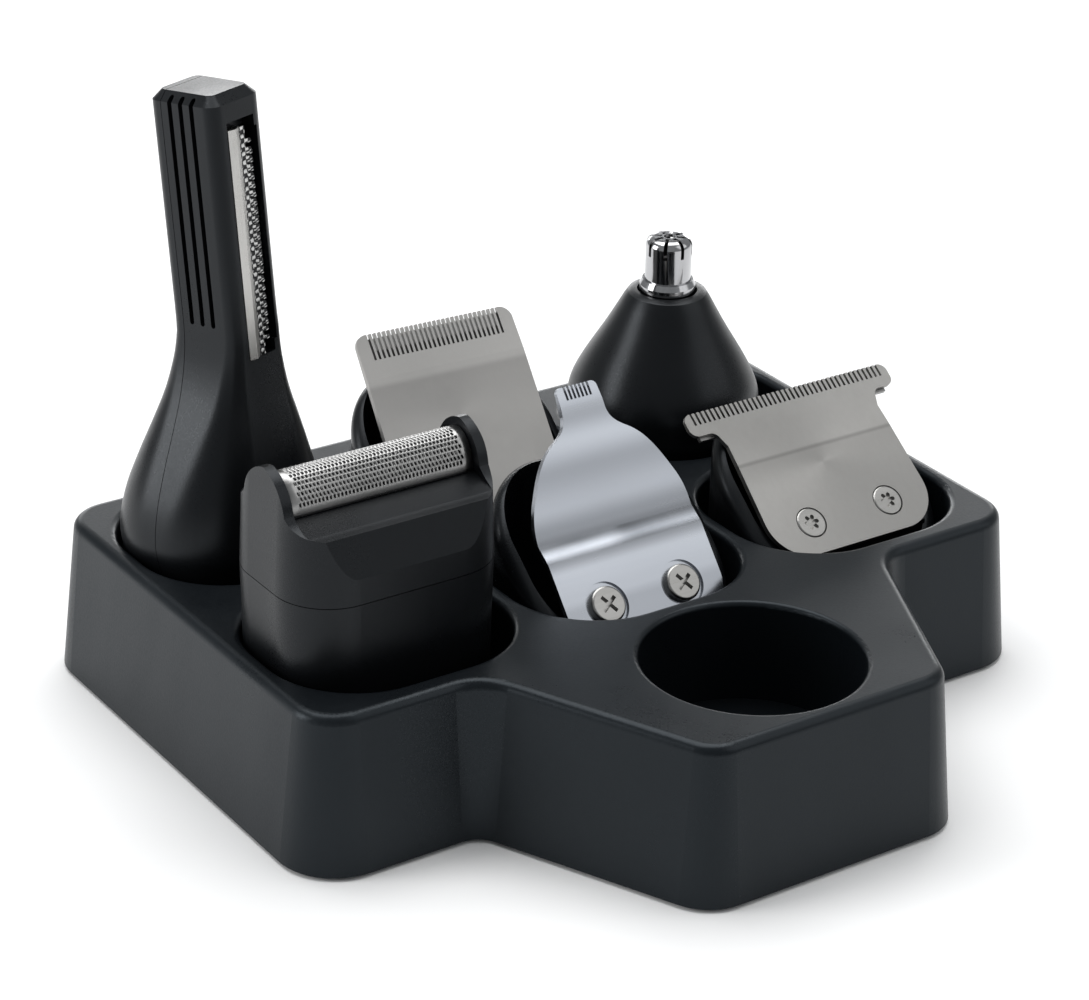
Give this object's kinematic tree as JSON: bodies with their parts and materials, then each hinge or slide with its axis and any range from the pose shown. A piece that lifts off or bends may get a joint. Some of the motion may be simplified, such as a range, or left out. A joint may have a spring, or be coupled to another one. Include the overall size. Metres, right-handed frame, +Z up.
{
  "type": "trimmer attachment stand",
  "caption": "Low black charging-dock style stand of a beard trimmer: its oval sockets hold cutting heads and a round socket takes the handle.",
  "frame": {"origin": "centre of the footprint, on the surface the feet rest on", "axes": "+X along the rows of sockets, +Y from the handle socket to the back row, +Z up"},
  "size_m": [0.1504, 0.134, 0.1097],
  "materials": {
    "moulded_black": "fine-grained matt black moulding",
    "head_black": "smoother satin black moulding",
    "inner_plastic": "natural acetal",
    "rubber": "matt",
    "blade_steel": "satin, ground",
    "polished_steel": "polished",
    "foil_steel": "perforated, bright",
    "spring_steel": "plain",
    "screw_steel": "plated"
  },
  "bodies": {
    "stand": {"stand_shell": "moulded_black", "stand_base_cover": "moulded_black", "stand_feet": "rubber", "stand_screws": "screw_steel"},
    "clipper_head": {"clipper_housing": "head_black", "clipper_fixed_blade": "blade_steel", "clipper_blade_spring": "spring_steel", "clipper_blade_screws": "screw_steel"},
    "clipper_cutter": {"clipper_moving_blade": "blade_steel", "clipper_cam_follower": "inner_plastic"},
    "t_head": {"t_housing": "head_black", "t_fixed_blade": "blade_steel", "t_blade_spring": "spring_steel", "t_blade_screws": "screw_steel"},
    "t_cutter": {"t_moving_blade": "blade_steel", "t_cam_follower": "inner_plastic"},
    "detail_head": {"detail_housing": "head_black", "detail_fixed_blade": "polished_steel", "detail_blade_spring": "spring_steel", "detail_blade_screws": "screw_steel"},
    "detail_cutter": {"detail_moving_blade": "polished_steel", "detail_cam_follower": "inner_plastic"},
    "foil_head": {"foil_base": "head_black"},
    "foil_top": {"foil_frame": "head_black", "foil_sheet": "foil_steel"},
    "foil_drive": {"foil_carrier": "inner_plastic", "foil_spring": "spring_steel"},
    "foil_float": {"foil_cutter": "blade_steel"},
    "nose_head": {"nose_housing": "head_black", "nose_collar": "head_black", "nose_guard": "polished_steel", "nose_bush": "inner_plastic"},
    "nose_rotor": {"nose_cutter": "blade_steel", "nose_coupling": "inner_plastic"},
    "precision_head": {"precision_front_shell": "head_black", "precision_rear_shell": "head_black", "precision_guard_strip": "polished_steel", "precision_comb": "blade_steel", "precision_spring": "spring_steel"},
    "precision_drive": {"precision_cutter": "blade_steel", "precision_drive_link": "inner_plastic"}
  },
  "joints": [
    {"name": "clipper_lift_out", "type": "slide", "parent": "stand", "child": "clipper_head", "axis": [0, 0, 1], "range_m": [0, 0.045]},
    {"name": "clipper_blade_slide", "type": "slide", "parent": "clipper_head", "child": "clipper_cutter", "axis": [0.9986, -0.0523, 0], "range_m": [-0.001, 0.001]},
    {"name": "t_lift_out", "type": "slide", "parent": "stand", "child": "t_head", "axis": [0, 0, 1], "range_m": [0, 0.045]},
    {"name": "t_blade_slide", "type": "slide", "parent": "t_head", "child": "t_cutter", "axis": [1, 0, 0], "range_m": [-0.001, 0.001]},
    {"name": "detail_lift_out", "type": "slide", "parent": "stand", "child": "detail_head", "axis": [0, 0, 1], "range_m": [0, 0.045]},
    {"name": "detail_blade_slide", "type": "slide", "parent": "detail_head", "child": "detail_cutter", "axis": [1, 0, 0], "range_m": [-0.001, 0.001]},
    {"name": "foil_lift_out", "type": "slide", "parent": "stand", "child": "foil_head", "axis": [0, 0, 1], "range_m": [0, 0.045]},
    {"name": "foil_frame_lift_off", "type": "slide", "parent": "foil_head", "child": "foil_top", "axis": [0, 0, 1], "range_m": [0, 0.03]},
    {"name": "foil_drive_slide", "type": "slide", "parent": "foil_head", "child": "foil_drive", "axis": [1, 0, 0], "range_m": [-0.0012, 0.0012]},
    {"name": "foil_cutter_float", "type": "slide", "parent": "foil_drive", "child": "foil_float", "axis": [0, 0, 1], "range_m": [-0.0006, 0], "deforming": ["foil_spring"]},
    {"name": "nose_lift_out", "type": "slide", "parent": "stand", "child": "nose_head", "axis": [0, 0, 1], "range_m": [0, 0.045]},
    {"name": "nose_rotor_spin", "type": "hinge", "parent": "nose_head", "child": "nose_rotor", "pos_m": [0.043, 0.0426, 0.02], "axis": [0, 0, 1], "continuous": true},
    {"name": "precision_lift_out", "type": "slide", "parent": "stand", "child": "precision_head", "axis": [0, 0, 1], "range_m": [0, 0.045]},
    {"name": "precision_drive_slide", "type": "slide", "parent": "precision_head", "child": "precision_drive", "axis": [-0.034, 0.0987, 0.9945], "range_m": [-0.0006, 0.0006]}
  ]
}
